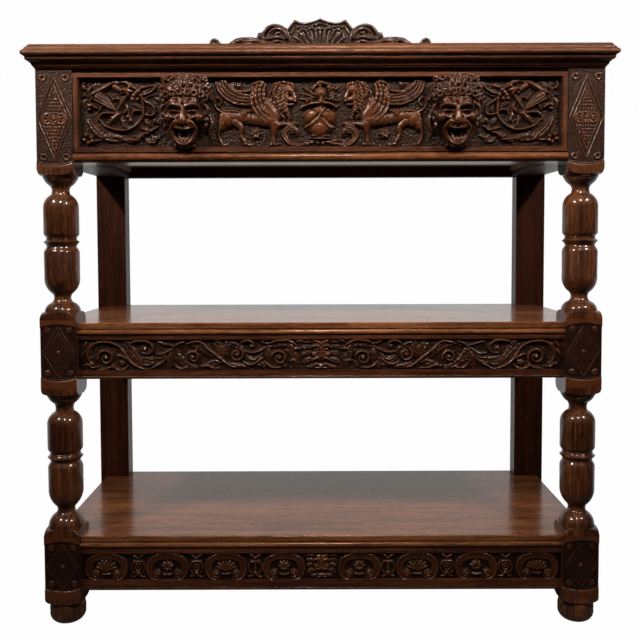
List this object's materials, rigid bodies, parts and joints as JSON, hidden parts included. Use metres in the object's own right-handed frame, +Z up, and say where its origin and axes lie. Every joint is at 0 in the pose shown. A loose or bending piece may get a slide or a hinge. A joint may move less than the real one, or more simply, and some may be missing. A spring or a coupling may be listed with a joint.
{
  "type": "three-tier serving sideboard",
  "caption": "Carved oak serving sideboard with turned front legs, open shelves, a frieze drawer with mask pulls and a low gallery with a shell crest.",
  "frame": {"origin": "on the floor, at the centre of the overall box", "axes": "+X to the right along the front, -Y to the front, +Z up"},
  "size_m": [1.134, 0.506, 1.305],
  "materials": {
    "turned_oak": "dark walnut-stained oak, polished",
    "carved_oak": "dark stained oak, carved, waxed",
    "board_oak": "stained oak boards, satin polish",
    "frame_oak": "dark walnut-stained oak, satin polish",
    "inner_oak": "bare oak, unpolished",
    "screws": "plain steel, dulled"
  },
  "bodies": {
    "carcase": {"apron_bottom_front": "carved_oak", "apron_bottom_left": "frame_oak", "apron_bottom_right": "frame_oak", "apron_middle_front": "carved_oak", "apron_middle_left": "frame_oak", "apron_middle_right": "frame_oak", "cornice_back": "frame_oak", "cornice_front": "frame_oak", "cornice_left": "frame_oak", "cornice_right": "frame_oak", "crest": "carved_oak", "crest_dowels": "inner_oak", "drawer_guide_left": "inner_oak", "drawer_guide_right": "inner_oak", "drawer_kicker_left": "inner_oak", "drawer_kicker_right": "inner_oak", "drawer_rail": "frame_oak", "drawer_runner_left": "frame_oak", "drawer_runner_right": "frame_oak", "drawer_stops": "inner_oak", "frieze_back": "frame_oak", "frieze_side_left": "frame_oak", "frieze_side_right": "frame_oak", "front_foot_left": "turned_oak", "front_foot_right": "turned_oak", "front_leg_left": "turned_oak", "front_leg_right": "turned_oak", "gallery_board": "frame_oak", "gallery_cap": "frame_oak", "gallery_screws": "screws", "glue_blocks_bottom": "inner_oak", "glue_blocks_middle": "inner_oak", "rail_bottom_back": "frame_oak", "rail_middle_back": "frame_oak", "rear_post_left": "frame_oak", "rear_post_right": "frame_oak", "shelf_bottom": "board_oak", "shelf_middle": "board_oak", "top_board": "board_oak", "top_rail": "frame_oak", "top_screws": "screws"},
    "drawer": {"drawer_back": "inner_oak", "drawer_bead_foot": "frame_oak", "drawer_bead_head": "frame_oak", "drawer_bead_left": "frame_oak", "drawer_bead_right": "frame_oak", "drawer_bottom": "inner_oak", "drawer_front": "frame_oak", "drawer_panel": "carved_oak", "drawer_side_left": "inner_oak", "drawer_side_right": "inner_oak", "mask_left": "carved_oak", "mask_right": "carved_oak", "mask_screws": "screws"}
  },
  "joints": [
    {"name": "drawer_slide", "type": "slide", "parent": "carcase", "child": "drawer", "axis": [0, -1, 0], "range_m": [0, 0.33]}
  ]
}
